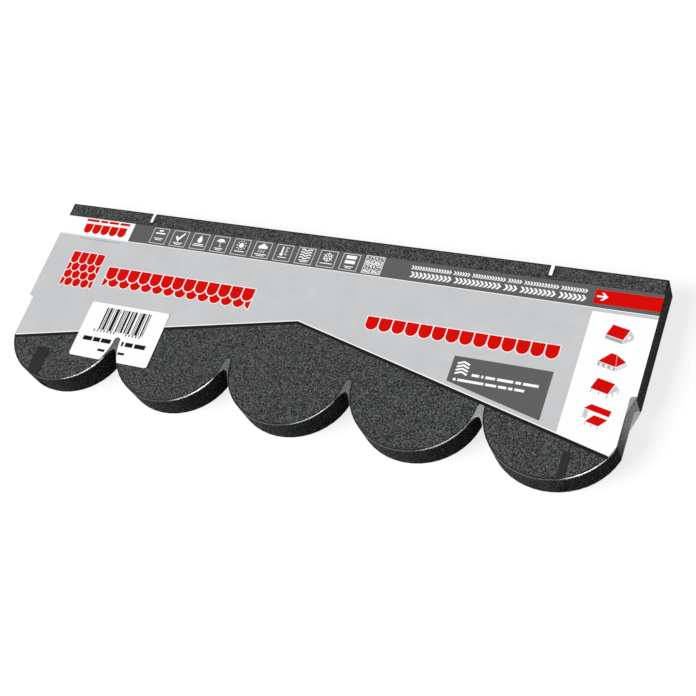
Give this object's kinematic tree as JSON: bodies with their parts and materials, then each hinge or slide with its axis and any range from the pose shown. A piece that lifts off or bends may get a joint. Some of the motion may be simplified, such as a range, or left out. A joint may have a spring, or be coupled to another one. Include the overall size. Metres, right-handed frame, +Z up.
{
  "type": "asphalt shingle bundle",
  "caption": "Flat stack of beaver-tail bitumen roof shingles with scalloped front edges, held in a shrink-film sleeve that follows the tabs, with a paper sticker.",
  "frame": {"origin": "centre of the bounding box's footprint, on the floor the bundle lies on", "axes": "+X along the strips, +Y from the scalloped tabs to the straight back edge, +Z up through the stack"},
  "size_m": [1, 0.3188, 0.0455],
  "materials": {
    "bitumen_shingle": "crushed dark grey slate granules in black bitumen, matt",
    "shrink_film": "clear polyethylene shrink film with printed light grey, dark grey and red fields, glossy",
    "sticker_paper": "white label paper with black print"
  },
  "bodies": {
    "root": {"shingle_01": "bitumen_shingle", "shingle_02": "bitumen_shingle", "shingle_03": "bitumen_shingle", "shingle_04": "bitumen_shingle", "shingle_05": "bitumen_shingle", "shingle_06": "bitumen_shingle", "shingle_07": "bitumen_shingle", "shingle_08": "bitumen_shingle", "shingle_09": "bitumen_shingle", "shingle_10": "bitumen_shingle", "shingle_11": "bitumen_shingle", "shingle_12": "bitumen_shingle", "shingle_13": "bitumen_shingle", "shingle_14": "bitumen_shingle", "shrink_film": "shrink_film", "sticker": "sticker_paper"}
  },
  "joints": []
}
